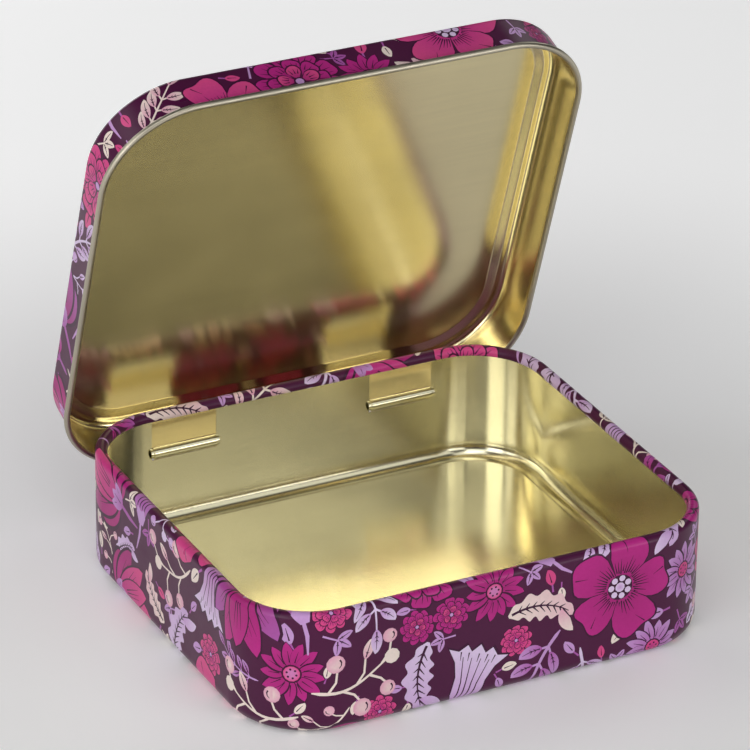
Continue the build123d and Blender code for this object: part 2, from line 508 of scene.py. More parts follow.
def print_material():
    """Ink and varnish on tinplate: the drawn colours, a little uneven, under a soft gloss."""
    m, tree, bsdf = new_material("printed_coat")
    where = object_space(tree)
    drawn = add_node(tree, "ShaderNodeVertexColor", {}, "Color", layer_name="print")
    uneven = combine(tree, "MULTIPLY", noise(tree, where, EVEN, 70.0, 3.0, 0.95, 1.05),
                     noise(tree, where, EVEN, 1400.0, 2.0, 0.96, 1.04))
    feed(tree, bsdf, {
        "Base Color": tinted(tree, drawn, uneven),
        "Roughness": noise(tree, where, EVEN, 150.0, 3.0, 0.27, 0.38),
        "Specular IOR Level": 0.25,
        "Normal": bumps(tree, noise(tree, where, EVEN, 500.0, 2.0, 0.0, 1.0), 0.000006),
    })
    return m


def plain_material():
    """The plain coat under the print."""
    m, tree, bsdf = new_material("plain_coat")
    feed(tree, bsdf, {"Base Color": (0.22, 0.03, 0.12, 1), "Roughness": 0.35})
    return m


# one gold lacquer in two copies: paled in the base and on the tongues as painted light, deepened inside the
# lid as painted shade
PAINTED_LIGHT_GOLD = gold_material("gold_lacquer_painted_light", (0.76, 0.71, 0.485))
PAINTED_SHADE_GOLD = gold_material("gold_lacquer_painted_shade", (0.76, 0.66, 0.375))
BARE = bare_material()
PRINT = print_material()
PLAIN = plain_material()

# ---------------------------------------------------------------- the printed design
HAIR, THIN, VEIN, FIRM = 0.2, 0.24, 0.26, 0.3   # widths of the fine lines in a motif
ORIGIN = (0, 0)


def ink(r, g, b):
    """A colour given in display values 0-255, all over 10, as linear light."""
    return np.array([((v / 255 + 0.055) / 1.055) ** 2.4 for v in (r, g, b)])


GROUND = ink(76, 20, 60)
LINE = ink(60, 14, 50)
MAGENTA, PINK, CERISE = ink(186, 40, 132), ink(216, 74, 136), ink(160, 30, 112)
PURPLE, LILAC, PALE = ink(172, 90, 168), ink(198, 152, 208), ink(222, 202, 232)
CREAM, ROSE = ink(238, 222, 212), ink(226, 164, 188)


def polar(p, r, a):
    """The point at a distance and angle from another."""
    return (p[0] + r * math.cos(a), p[1] + r * math.sin(a))


class Pen:
    """Draws one motif into a design, turned, scaled and moved to its place.

    A design is a list of flat shapes, later ones over earlier ones: the outline, the colours at the
    middle and at the rim, the middle and the distance from it at which the rim's colour is reached.
    """

    def __init__(self, design, x, y, angle, size=1.0, flip=1):
        self.design, self.x, self.y, self.size, self.flip = design, x, y, size, flip
        self.c, self.s = math.cos(angle), math.sin(angle)

    def place(self, p):
        """Where a point of the motif lies in the design."""
        x, y = p[0] * self.size, p[1] * self.size * self.flip
        return (self.x + x * self.c - y * self.s, self.y + x * self.s + y * self.c)

    def fill(self, points, middle, rim=None, centre=ORIGIN, reach=1.0):
        """A closed shape that shades from its middle colour to its rim colour."""
        rim = middle if rim is None else rim
        outline = [self.place(p) for p in points]
        self.design.append((outline, middle, rim, self.place(centre), reach * self.size))

    def stroke(self, points, width=THIN, colour=LINE, end=0.3):
        """A line along the points that narrows to a share of its width."""
        left, right = [], []
        n = len(points) - 1
        for i, p in enumerate(points):
            a, b = points[max(i - 1, 0)], points[min(i + 1, n)]
            dx, dy = b[0] - a[0], b[1] - a[1]
            d = math.hypot(dx, dy) or 1.0
            w = width / 2 * (1 - (1 - end) * i / n) * (0.35 if i == 0 and width > 0.45 else 1)
            left.append((p[0] - dy / d * w, p[1] + dx / d * w))
            right.append((p[0] + dy / d * w, p[1] - dx / d * w))
        self.fill(left + right[::-1], colour)

    def disc(self, centre, r, colour, rim=None, n=10):
        """A round spot."""
        self.fill([polar(centre, r, a) for a in angles(n)], colour, rim, centre, r)


def fan(at, angle, half, reach, blunt, waves, depth, phase, n=18):
    """A petal that opens from a point: blunt shapes its shoulders, waves its outer edge."""
    pts = [at]
    for i in range(n + 1):
        f = -1 + 2 * i / n
        r = reach * max(1 - abs(f) ** blunt, 0) ** 0.5
        r *= 1 + depth * math.sin(waves * f * math.pi + phase)
        pts.append(polar(at, max(r, reach * 0.12), angle + f * half))
    return pts


def blade(at, angle, length, width, bend, lobes=0, depth=0.0, n=12):
    """A leaf on a bent middle line: its outline and that line."""
    spine, left, right = [], [], []
    p, a = at, angle - bend / 2
    for i in range(n + 1):
        f = i / n
        spine.append(p)
        w = width / 2 * math.sin(math.pi * min(f * 0.96 + 0.02, 1)) ** 0.75 * (1 + 0.25 * (0.5 - f))
        w *= 1 - depth * (0.5 + 0.5 * math.cos(2 * math.pi * lobes * f)) if lobes else 1
        left.append((p[0] - math.sin(a) * w, p[1] + math.cos(a) * w))
        right.append((p[0] + math.sin(a) * w, p[1] - math.cos(a) * w))
        p = polar(p, length / n, a)
        a += bend / n
    return left + right[::-1][1:], spine


def leaf(pen, at, angle, length, width, bend, colour, rim, ribs=3):
    """A bent leaf with its middle vein and side ribs."""
    shape, spine = blade(at, angle, length, width, bend)
    pen.fill(shape, rim, colour, at, length)
    pen.stroke(spine[1:-2], VEIN / pen.size)
    for k in range(ribs):
        q = spine[3 + 2 * k]
        for side in (-1, 1):
            if 3 + 2 * k < len(spine) - 2:
                end = polar(q, width * 0.26, angle + side * 0.75)
                pen.stroke([q, end], HAIR / pen.size)


def rosette(pen, rng, petals=5, dark=CERISE, light=PINK, heart=LILAC):
    """An open wild flower with broad petals, 10 mm from middle to rim."""
    start = rng.uniform(0, 6)
    for a in angles(petals, start):
        a += rng.uniform(-0.07, 0.07)
        half = math.pi / petals * rng.uniform(1.08, 1.2)
        reach, phase = rng.uniform(9.0, 10.4), rng.uniform(0, 6)
        pen.fill(fan(ORIGIN, a, half, reach + 0.35, 4.0, 2.0, 0.05, phase), LINE)
        pen.fill(fan(ORIGIN, a, half * 0.95, reach, 4.0, 2.0, 0.05, phase), dark, light, ORIGIN, reach)
        for j in range(9):
            f = -0.72 + 1.44 * j / 8
            r0, r1 = rng.uniform(2.6, 3.2), rng.uniform(4.6, 6.8) - 1.3 * abs(f)
            line = [polar(ORIGIN, r0, a + f * half), polar(ORIGIN, (r0 + r1) / 2, a + f * half * 1.02),
                    polar(ORIGIN, r1, a + f * half)]
            pen.stroke(line, FIRM, LINE, 0.2)
        crease = [polar(ORIGIN, reach * 0.93, a - half * 0.25), polar(ORIGIN, reach * 0.7, a - half * 0.12)]
        pen.stroke(crease, end=0.2)
    pen.disc(ORIGIN, 2.5, LINE, n=16)
    for a in angles(7, start):
        pen.disc(polar(ORIGIN, 1.75, a), 0.62, heart, PALE, 8)
    pen.disc(ORIGIN, 0.95, heart, PALE)


def daisy(pen, rng, petals=13, dark=PURPLE, light=LILAC, heart=MAGENTA):
    """A many-rayed flower, 7 mm from middle to rim."""
    for a in angles(petals, rng.uniform(0, 6)):
        reach = rng.uniform(6.2, 7.2)
        shape, spine = blade(polar(ORIGIN, 1.2, a), a, reach - 1.2, 2.3, rng.uniform(-0.3, 0.3), n=9)
        wide, _ = blade(polar(ORIGIN, 1.1, a), a, reach - 0.9, 2.8, 0, n=9)
        pen.fill(wide, LINE)
        pen.fill(shape, dark, light, ORIGIN, reach)
        pen.stroke(spine[2:7])
    pen.disc(ORIGIN, 2.0, LINE, n=14)
    pen.disc(ORIGIN, 1.65, heart, PINK, 12)
    for a in angles(6):
        pen.disc(polar(ORIGIN, 0.95, a), 0.25, LINE, n=6)


def pompon(pen, rng, dark=CERISE, light=MAGENTA, top=PINK):
    """A full round flower of small scalloped petals, 8 mm from middle to rim."""
    for count, r, reach, rim in ((9, 4.2, 4.4, light), (8, 2.3, 3.9, light), (5, 0.7, 3.0, top)):
        for k, a in enumerate(angles(count, rng.uniform(0, 6))):
            at = polar(ORIGIN, r * 0.6, a)
            size = reach * rng.uniform(0.92, 1.08)
            pen.fill(fan(at, a, 0.78, size + 0.3, 3.0, 1.5, 0.05, k, 12), LINE)
            pen.fill(fan(at, a, 0.72, size, 3.0, 1.5, 0.05, k, 12), dark, rim, at, size)
            for f in (-0.3, 0.05, 0.35):
                pen.stroke([polar(at, size * 0.45, a + f), polar(at, size * 0.82, a + f)], end=0.2)
    pen.disc(ORIGIN, 1.0, LINE)
    pen.disc(ORIGIN, 0.7, LILAC)


def bloom(pen, rng, dark=CERISE, light=PINK, outer=MAGENTA):
    """A half-open flower seen from the side, its pointed petals fanned, 15 mm long from its stalk."""
    pen.stroke([(-7.5, 0.8), (-4.5, 0.2), (-1, 0)], 0.9, PURPLE, 0.8)
    petals = ((1.15, 9, 4.2, -0.7), (-1.15, 9, 4.2, 0.7), (0.72, 12, 5, -0.35), (-0.72, 12, 5, 0.35),
              (0.3, 13.5, 5.2, 0.15), (-0.3, 13.5, 5.2, -0.15), (0.0, 12.5, 5.0, 0.0))
    for a, length, width, bend in petals:
        a += rng.uniform(-0.06, 0.06)
        wide, _ = blade((-0.4, 0), a, length + 0.8, width + 0.6, bend)
        shape, spine = blade(ORIGIN, a, length, width, bend)
        pen.fill(wide, LINE)
        pen.fill(shape, dark, outer if abs(a) > 0.5 else light, ORIGIN, length)
        for off in (-0.14, 0.02, 0.16):
            q = [polar(ORIGIN, length * g, a - bend / 2 + bend * g * 0.7 + off * (1 - 0.4 * g))
                 for g in (0.3, 0.5, 0.72)]
            pen.stroke(q, VEIN, LINE, 0.2)
    for a in (0.55, -0.55, 0):
        shape, _ = blade((-1.5, 0), a, 4.2, 2.2, 0)
        pen.fill(shape, PURPLE, LILAC, (-1.5, 0), 4.2)
        pen.stroke([(-0.8, 0), polar((-1.5, 0), 3.2, a)])


def bell(pen, rng, dark=PURPLE, light=LILAC, edge=PALE):
    """A hanging bell with a frilled mouth, 11 mm long."""
    pen.stroke([(-6.5, 1.6), (-3.5, 0.5), ORIGIN], 0.7, LILAC, 0.8)
    body = [(-0.5, 0.9), (2.2, 2.5), (5.2, 2.6), (7.6, 3.5), (9.6, 5.2), (9.4, 3.4), (10.6, 2.2), (9.6, 1.2),
            (10.9, 0), (9.6, -1.2), (10.6, -2.2), (9.4, -3.4), (9.6, -5.2), (7.6, -3.5), (5.2, -2.6),
            (2.2, -2.5), (-0.5, -0.9)]
    pen.fill([(x * 1.05 - 0.1, y * 1.1) for x, y in body], LINE)
    pen.fill(body, dark, edge, ORIGIN, 10)
    for y0, y1 in ((1.2, 2.2), (0.35, 0.7), (-0.5, -0.9), (-1.3, -2.4)):
        pen.stroke([(1.5, y0), (4.5, y0 * 1.1), (8.6, y1)], 0.28, LINE, 0.4)
    for y in (-3.0, -1.6, 0.2, 1.7, 3.0):
        pen.stroke([(9.4, y), (8.0, y * 0.9)])
    pen.fill([(-1.4, 0.7), (0.4, 1.6), (1.6, 1.1), (1.0, 0), (1.6, -1.1), (0.4, -1.6), (-1.4, -0.7)], light)


def spray(pen, rng, stem=LILAC, dark=PURPLE, light=LILAC, pairs=4):
    """A bent stem with pairs of leaves, 16 mm long."""
    bend = rng.uniform(0.5, 1.1)
    points, p, a = [], (-8, 0), -bend / 2
    for i in range(17):
        points.append(p)
        p = polar(p, 1.0, a)
        a += bend / 16
    pen.stroke(points, 0.62, stem, 0.45)
    for k in range(pairs):
        i = 3 + int(k * 12 / pairs)
        heading = math.atan2(points[i + 1][1] - points[i][1], points[i + 1][0] - points[i][0])
        for side in (-1, 1):
            lean = heading + side * rng.uniform(0.75, 1.0)
            foot = polar(points[i], 1.1, lean)
            pen.stroke([points[i], foot], 0.4, stem, 0.9)
            leaf(pen, foot, lean - side * 0.15, rng.uniform(3.6, 4.8), rng.uniform(1.7, 2.2), side * -0.5,
                 light, dark, 2)
    leaf(pen, points[-1], a, 4.6, 2.1, 0.2, light, dark, 2)


def berries(pen, rng, stem=CREAM, fruit=CREAM, shade=ROSE):
    """A forked stem with round berries and small leaves, 13 mm long."""
    points = [(-6.5 + i, 1.3 * math.sin(i * 0.33)) for i in range(12)]
    pen.stroke(points, 0.5, stem, 0.5)
    for k, i in enumerate((2, 4, 6, 8, 10)):
        side = 1 if k % 2 else -1
        end = (points[i][0] + 2.0, points[i][1] + side * rng.uniform(2.2, 3.4))
        pen.stroke([points[i], (points[i][0] + 1.4, points[i][1] + side * 1.2), end], 0.36, stem, 0.8)
        if k % 3 == 2:
            leaf(pen, end, math.atan2(side, 0.6), 3.0, 1.4, 0, fruit, shade, 1)
        else:
            r = rng.uniform(1.0, 1.35)
            c = (end[0], end[1] + side * r * 0.7)
            pen.disc(c, r, fruit, shade, 12)
            pen.stroke([polar(c, r * 0.6, a) for a in (-0.6, 0.0, 0.6, 1.2)], VEIN, LINE, 0.4)
    pen.disc((points[-1][0] + 0.6, points[-1][1]), 1.1, fruit)


def curled_leaf(pen, rng, colour=CREAM, shade=ROSE):
    """A lobed leaf that turns over at its tip, 11 mm long."""
    bend = rng.uniform(0.8, 1.3)
    shape, spine = blade((-5, 0), 0, 10.5, 4.6, bend, 5, 0.34, 40)
    pen.fill(shape, colour, shade, (-5, 0), 16)
    pen.stroke(spine[2:-4], 0.4, LINE)
    for i in range(6, 33, 4):
        a = math.atan2(spine[i + 1][1] - spine[i][1], spine[i + 1][0] - spine[i][0])
        for side, share in ((1, 1.35), (-1, 0.9)):
            q = polar(spine[i], share, a + side * 0.8)
            pen.stroke([spine[i], q], VEIN)
    fold, _ = blade(spine[-9], 0.9, 4.2, 1.7, -1.0)
    pen.fill(fold, shade, colour, spine[-9], 4)
    pen.stroke([spine[-9], polar(spine[-9], 3.2, 0.75)])


def trefoil(pen, rng, colour=CREAM):
    """Three small leaves on a short stalk, 6 mm across."""
    pen.stroke([(-3.0, 0.6), ORIGIN], 0.4, colour, 0.8)
    for a in (-1.05, 0, 1.05):
        leaf(pen, ORIGIN, a, 3.3, 1.6, 0.2, colour, colour, 1)


def bud(pen, rng, colour=PINK):
    """A small closed bud, 3 mm long."""
    shape, _ = blade((-1.4, 0), 0, 3.0, 1.7, 0.2)
    pen.fill(shape, colour)
    pen.stroke([(-0.9, 0), (0.9, 0)], 0.22, LINE)
    pen.stroke([(-2.6, 0.2), (-1.3, 0)], 0.34, PURPLE, 0.8)


MOTIF_SCALE = 1.36
SNUG = 0.87              # share of its room that a motif keeps free of others
# each motif's room as discs (x, y, radius)
SPRAY_ROOM = ((-5.0, -1.2, 2.8), (-1.0, -1.8, 3.7), (3.5, -1.3, 3.9), (7.8, 0.6, 3.4))
BERRY_ROOM = ((-4.6, 0, 1.4), (-1.5, 0.6, 2.8), (1.6, 0.8, 3.5), (5.2, 0.9, 2.2))
LEAF_ROOM = ((-3.5, -0.6, 1.6), (0, -0.8, 2.3), (4.0, 0.6, 2.4))
BELL_ROOM = ((8.0, 0, 4.6), (3.6, 0, 2.9), (-1.6, 0.4, 1.2), (-5.0, 1.2, 1.0))
BLOOM_ROOM = ((5.0, 0, 7.8), (10.2, 0, 4.4), (-4.5, 0.4, 1.4))
TREFOIL_ROOM = ((0.7, 0, 2.4), (-2.2, 0.4, 0.7))
ROSETTE_ROOM, POMPON_ROOM, DAISY_ROOM, BUD_ROOM = (((0, 0, r),) for r in (9.4, 7.2, 6.2, 1.5))
# colour sets, where each motif's own colours are {}
PALE_SPRAY = {"stem": PALE, "dark": LILAC, "light": PALE}
CREAM_SPRAY = {"stem": CREAM, "dark": ROSE, "light": CREAM}
DEEP_SPRAY = {"stem": PURPLE, "dark": MAGENTA, "light": PURPLE}
BRIGHT, DEEP = {"dark": MAGENTA, "light": PINK}, {"dark": CERISE, "light": MAGENTA}
LILAC_LEAF = {"colour": PALE, "shade": LILAC}
# motif, its room, scale range and colour sets, from the largest to the smallest
LARGE = ((bloom, BLOOM_ROOM, (0.95, 1.1), ({**BRIGHT, "outer": CERISE}, {**DEEP, "outer": PURPLE})),
         (rosette, ROSETTE_ROOM, (0.92, 1.04), ({}, DEEP, BRIGHT)),
         (pompon, POMPON_ROOM, (1.0, 1.12), (BRIGHT, {})))
MIDDLE = ((spray, SPRAY_ROOM, (0.95, 1.15), (DEEP_SPRAY, {}, PALE_SPRAY)),
          (bell, BELL_ROOM, (0.95, 1.15),
           ({"dark": LILAC, "edge": PALE}, {}, {"dark": PURPLE, "edge": LILAC})),
          (curled_leaf, LEAF_ROOM, (1.2, 1.5), ({}, {}, LILAC_LEAF)),
          (spray, SPRAY_ROOM, (0.9, 1.1), (PALE_SPRAY, CREAM_SPRAY)),
          (berries, BERRY_ROOM, (1.1, 1.35), ({}, {})),
          (daisy, DAISY_ROOM, (0.75, 0.9), ({}, {**DEEP, "heart": LILAC})))
SMALL = ((spray, SPRAY_ROOM, (0.6, 0.8), ({}, DEEP_SPRAY)),
         (curled_leaf, LEAF_ROOM, (0.8, 1.05), ({}, LILAC_LEAF)),
         (pompon, POMPON_ROOM, (0.42, 0.55), (DEEP, BRIGHT)),
         (berries, BERRY_ROOM, (0.75, 0.9), ({}, {"stem": PALE, "fruit": PALE, "shade": LILAC})))
TINY = ((trefoil, TREFOIL_ROOM, (0.75, 1.1), ({}, {"colour": LILAC}, {"colour": PURPLE})),
        (bud, BUD_ROOM, (0.8, 1.4), ({}, {"colour": LILAC}, {"colour": CREAM})))
# each size's motifs, how often a place is tried for one, and the least gap between them
SIZES = ((LARGE, 900, 0.6), (MIDDLE, 9000, 0.1), (SMALL, 9000, 0.1), (TINY, 9000, 0.1))
AREA_EACH = 520          # flat area for each large motif, mm2 before scaling
OVERHANG, MOTIF_REACH = 3, 16   # how far middles lie outside the field, and how far a motif reaches


def compose(width, height, wrap, seed):
    """Scatter motifs over a flat field from the largest to the smallest, each in the free room it finds.

    A field that closes on itself is drawn again before its start, for the length given by wrap.
    """
    width, height, wrap = width / MOTIF_SCALE, height / MOTIF_SCALE, wrap / MOTIF_SCALE
    rng = random.Random(seed)
    taken = np.zeros((0, 3))
    jobs = []
    for kinds, tries, gap in SIZES:
        turn = 0
        for _ in range(tries):
            if kinds is LARGE and turn >= width * height / AREA_EACH:
                break
            motif, room, scale, sets = kinds[turn % len(kinds)]
            size, flip, angle = rng.uniform(*scale), rng.choice((-1, 1)), rng.uniform(0, 2 * math.pi)
            x, y = rng.uniform(0, width), rng.uniform(-OVERHANG, height + OVERHANG)
            pen = Pen([], x, y, angle, size, flip)
            discs = np.array([pen.place(d) + (d[2] * size * SNUG,) for d in room])
            away = np.abs(taken[:, None, :2] - discs[None, :, :2])
            if wrap:
                away[..., 0] = np.minimum(away[..., 0] % width, -away[..., 0] % width)
            if (np.hypot(away[..., 0], away[..., 1]) < taken[:, None, 2] + discs[None, :, 2] + gap).any():
                if rng.random() < 0.01:
                    turn += 1
                continue
            taken = np.concatenate([taken, discs])
            jobs.append((motif, x, y, angle, size, flip, rng.choice(sets), rng.randrange(10 ** 6)))
            turn += 1
    design = []
    for motif, x, y, angle, size, flip, colours, seed_here in reversed(jobs):
        for shift in ((-width, 0) if wrap else (0,)):
            if x + shift > -wrap - MOTIF_REACH:
                motif(Pen(design, x + shift, y, angle, size, flip), random.Random(seed_here), **colours)
    return [([(x * MOTIF_SCALE, y * MOTIF_SCALE) for x, y in outline], middle, rim,
             (cx * MOTIF_SCALE, cy * MOTIF_SCALE), reach * MOTIF_SCALE)
            for outline, middle, rim, (cx, cy), reach in design]


def covers(points, outline):
    """Which flat points lie inside a closed outline."""
    q = np.array(outline)
    inside = np.zeros(len(points), bool)
    for (ax, ay), (bx, by) in zip(q, np.roll(q, -1, 0)):
        if ay == by:
            continue
        crosses = (ay > points[:, 1]) != (by > points[:, 1])
        inside ^= crosses & (points[:, 0] < (bx - ax) * (points[:, 1] - ay) / (by - ay) + ax)
    return inside


def front_of(tri, middle, flat, shapes):
    """Colours at the corners of the front's triangles, each from the last drawn shape that covers it."""
    owner = np.full(len(tri), -1)
    for k, (outline, *_) in enumerate(shapes):
        low, high = outline.min(0), outline.max(0)
        near = np.nonzero(((middle > low) & (middle < high)).all(1))[0]
        owner[near[covers(middle[near], outline)]] = k
    colours = np.ones((len(tri), 3, 4))
    colours[:, :, :3] = GROUND
    for k, (_, inner, rim_colour, centre, reach) in enumerate(shapes):
        mine = np.nonzero(owner == k)[0]
        share = np.linalg.norm(flat[tri[mine]] - np.array(centre), axis=2) / reach
        share = np.clip(share, 0, 1)[:, :, None]
        colours[mine, :, :3] = inner * (1 - share) + rim_colour * share
    return colours


def skin(name, design, lines, keep, mapping):
    """A thin printed coat over part of a shell, its shapes cut into the front of its mesh.

    lines are flat lines that the coat folds along or ends on, keep says which flat points it
    covers, and mapping turns flat points into places and outward directions.
    """
    frame_points, frame_edges = [], []
    for line in lines:
        first = len(frame_points)
        frame_points += [Vector((float(x), float(y))) for x, y in line]
        frame_edges += [(first + k, first + k + 1) for k in range(len(line) - 1)]
    low, high = np.array(frame_points).min(0), np.array(frame_points).max(0)
    points, edges, shapes = list(frame_points), list(frame_edges), []
    for outline, *colouring in design:
        q = np.array(outline)
        if (q.max(0) > low).all() and (q.min(0) < high).all():
            first, n = len(points), len(q)
            points += [Vector(v) for v in outline]
            edges += [(first + k, first + (k + 1) % n) for k in range(n)]
            shapes.append((q, *colouring))
    verts, _, tris, _, _, _ = delaunay_2d_cdt(points, edges, [], 0, 1e-3)
    flat, tri = np.array(verts), np.array(tris)
    tri = tri[keep(flat[tri].mean(1))]
    colours = front_of(tri, flat[tri].mean(1), flat, shapes)
    # a plain back ends on the same rim
    sides = {(int(t[k]), int(t[(k + 1) % 3])) for t in tri for k in range(3)}
    rim = [e for e in sides if e[::-1] not in sides]
    rim_ids = sorted({k for e in rim for k in e})
    seat = {k: n for n, k in enumerate(rim_ids)}
    offset = len(rim_ids)
    back_points = [verts[k] for k in rim_ids] + frame_points
    back_edges = [(seat[a], seat[b]) for a, b in rim] + [(a + offset, b + offset) for a, b in frame_edges]
    back_verts, _, back_tris, olds, _, _ = delaunay_2d_cdt(back_points, back_edges, [], 0, 1e-5)
    back_flat, back_tri = np.array(back_verts), np.array(back_tris)
    back_tri = back_tri[keep(back_flat[back_tri].mean(1))]
    to_back = {rim_ids[o]: n for n, group in enumerate(olds) for o in group if o < offset}
    front, out = mapping(flat)
    behind, back_out = mapping(back_flat)
    behind = behind - back_out * (COAT - COAT_GAP)
    n = len(flat)
    faces = tri.tolist() + [[c + n, b + n, a + n] for a, b, c in back_tri.tolist()]
    faces += [[b, a, to_back[a] + n, to_back[b] + n] for a, b in rim]
    used = sorted({k for f in faces for k in f})
    renumber = {k: i for i, k in enumerate(used)}
    faces = [[renumber[k] for k in f] for f in faces]
    obj = make_mesh(name, np.concatenate([front, behind])[used], faces, [PRINT])
    mesh = obj.data
    plain = np.tile((*GROUND, 1.0), (len(mesh.loops) - 3 * len(tri), 1))
    layer = mesh.color_attributes.new("print", "FLOAT_COLOR", "CORNER")
    layer.data.foreach_set("color", np.concatenate([colours.reshape(-1, 4), plain]).ravel())
    mesh.normals_split_custom_set_from_vertices(np.concatenate([out, -back_out])[used].tolist())
    return obj


# ---------------------------------------------------------------- the two shells
base_line, window_rows = base_section()
base_path = RoundedPath(BASE_L, BASE_D, BASE_R)
base_stations = base_path.stations(opening_ends(WINDOW_W))
lid_line, notch_row = lid_section()
lid_stations = RoundedPath(LID_L, LID_D, LID_R).stations(opening_ends(NOTCH_W))
foot_at = int(np.argmax(base_line[0][:, 0] < FOOT_R + 0.01))   # the first point of the foot's radius
curl_at = len(lid_line[0]) - 1 - CURL_PARTS                    # the first point of the lid's roll


def cells(stations, rows, width):
    """Cells (row, station) of the hinge openings in a rear side."""
    points = stations[0]
    found = set()
    for j, (a, b) in enumerate(zip(points, np.roll(points, -1, 0))):
        x = (a[0] + b[0]) / 2
        if a[1] > 0 and abs(a[1] - b[1]) < 1e-9 and abs(abs(x) - HINGE_X) < width / 2:
            found |= {(i, j) for i in rows}
    return found


def base_coat(side, row):
    """Material index in the base: plain under the print, bare on the floor's underside, else gold."""
    if side != 0:
        return 0
    return 2 if row >= foot_at else 1


def lid_coat(side, row):
    """Material index in the lid: bare on the roll, plain under the print, else gold."""
    if row >= curl_at:
        return 1
    return 2 if side == 0 else 0


# the base, its bars and the lid's tongues take the gold paled as painted light; the lid's shell takes the
# gold deepened as painted shade
base_shell = shell("base_shell", base_line, base_stations, 1,
                   cells(base_stations, range(*window_rows), WINDOW_W), np.asarray,
                   BASE_WAVE, [PAINTED_LIGHT_GOLD, BARE, PLAIN], base_coat)
lid_shell = shell("lid_shell", lid_line, lid_stations, -1,
                  cells(lid_stations, range(notch_row, len(lid_line[0]) - 1), NOTCH_W),
                  lambda points: open_lid(points + np.array([0, 0, LID_EDGE_Z])),
                  LID_WAVE, [PAINTED_SHADE_GOLD, BARE, PLAIN], lid_coat)

tongue = Section((LID_OVER - SHEET / 2 + BASE_D / 2 - HINGE_Y, NOTCH_TOP - HINGE_Z), 270)
tongue.line(tongue.at[1] - ROLL_R - TONGUE_BEND).arc(TONGUE_BEND + SHEET / 2, -90, 8)
tongue.line(tongue.at[0]).arc(ROLL_R - SHEET / 2, TONGUE_TURN, 40)
for side, x in (("left", -HINGE_X), ("right", HINGE_X)):
    carry(strip("lid_tongue_" + side, tongue.arrays(), x, TONGUE_W, open_lid, PAINTED_LIGHT_GOLD),
          *LID, "gold_lacquer")
    carry(tube("base_bar_" + side, x, WINDOW_W + 2 * BAR_ROOT, BAR_R, BAR_R - SHEET, PAINTED_LIGHT_GOLD),
          *BASE, "gold_lacquer")
carry(base_shell, *BASE, "gold_lacquer")
carry(lid_shell, *LID, "gold_lacquer")

# ---------------------------------------------------------------- the printed coat of the base
PRINT_UNDER = 0.4              # how far the print runs in under the foot


def profile_at(line, t, outer):
    """Inset, height and outward normal of a section line at a run, on its outer face."""
    p, n, run = line
    inset, z = (np.interp(t, run, p[:, k] + n[:, k] * outer * SHEET / 2) for k in (0, 1))
    nu, nz = (np.interp(t, run, n[:, k] * outer) for k in (0, 1))
    size = np.hypot(nu, nz)
    return inset, z, nu / size, nz / size


def on_base(flat):
    """Places on the base's outer face, from the run round the wall and the run along the section."""
    p, out = base_path.walk(flat[:, 0])
    u, z, nu, nz = profile_at(base_line, flat[:, 1], 1)
    place = np.concatenate([p - out * u[:, None], z[:, None]], 1)
    normal = np.concatenate([-out * nu[:, None], nz[:, None]], 1)
    return place, normal


def print_base():
    """The base's coat in four strips, which meet in the middle of each corner."""
    run = base_line[2]
    low, high = run[foot_at] - PRINT_UNDER, run[-1]
    window = [run[r] for r in window_rows]
    folds = list(run[foot_at:foot_at + FOOT_PARTS + 1:2]) + window + list(run[-RIM_PARTS - 1::2])
    rows = sorted({round(float(t), 6) for t in folds + [low, high]})
    corner_starts, quarter = base_path.starts[1::2], base_path.quarter
    fold_columns = [c + quarter * k / CORNER_PARTS for c in corner_starts for k in range(CORNER_PARTS + 1)]
    halves = [c + quarter / 2 for c in corner_starts]
    design = compose(base_path.total, high, halves[0], 11)
    ends = [halves[3] - base_path.total] + halves
    for side, s0, s1 in zip(("rear", "left", "front", "right"), ends, ends[1:]):
        columns = [c + shift for shift in (-base_path.total, 0) for c in fold_columns if s0 < c + shift < s1]
        columns += [s0, s1] + (opening_ends(WINDOW_W) if side == "rear" else [])
        columns = sorted({round(c, 6) for c in columns})
        lines = [[(c, t) for t in rows] for c in columns] + [[(c, t) for c in columns] for t in rows]

        def keep(q, s0=s0, s1=s1, rear=side == "rear"):
            good = (q[:, 0] > s0) & (q[:, 0] < s1) & (q[:, 1] > low) & (q[:, 1] < high)
            if rear:
                beside = np.abs(np.abs(q[:, 0]) - HINGE_X) < WINDOW_W / 2
                good &= ~(beside & (q[:, 1] > window[0]) & (q[:, 1] < window[1]))
            return good

        carry(skin("base_print_" + side, design, lines, keep, on_base), *BASE, "printed_tinplate")


# ---------------------------------------------------------------- the printed coat of the lid
# flat places on the lid are measured from its middle, with the skirt folded out round the panel
lid_run = lid_line[2]
edge_at = next(k for k in range(len(lid_run)) if abs(lid_line[0][k, 0] - LID_EDGE_R) < 1e-6)
skirt_end = lid_run[curl_at] - lid_run[edge_at]
notch_start = lid_run[notch_row] - lid_run[edge_at]
CORNER_X, CORNER_Y = LID_L / 2 - LID_R, LID_D / 2 - LID_R
FLAT_R = LID_R - LID_EDGE_R    # plan radius of a corner where the edge radius starts
CORNERS = ((-CORNER_X, CORNER_Y, 90), (-CORNER_X, -CORNER_Y, 180),
           (CORNER_X, -CORNER_Y, 270), (CORNER_X, CORNER_Y, 0))
PRINT_GRID, GRID_REACH = 8.0, (48, 42)   # loose points in the middle of the lid's coat


def lid_split(flat):
    """Direction out of the lid's middle part and the distance beyond the start of its edge radius."""
    d = np.abs(flat) - np.array([CORNER_X, CORNER_Y])
    sign = np.where(flat < 0, -1.0, 1.0)
    both = (d > 0).all(1)
    r = np.hypot(d[:, 0], d[:, 1])
    out = np.zeros_like(flat)
    out[both] = d[both] / r[both][:, None]
    side = ~both & (d[:, 0] > d[:, 1])
    out[side, 0] = 1
    out[~both & ~side, 1] = 1
    q = np.where(both, r, np.maximum(d[:, 0], d[:, 1])) - FLAT_R
    return out * sign, q


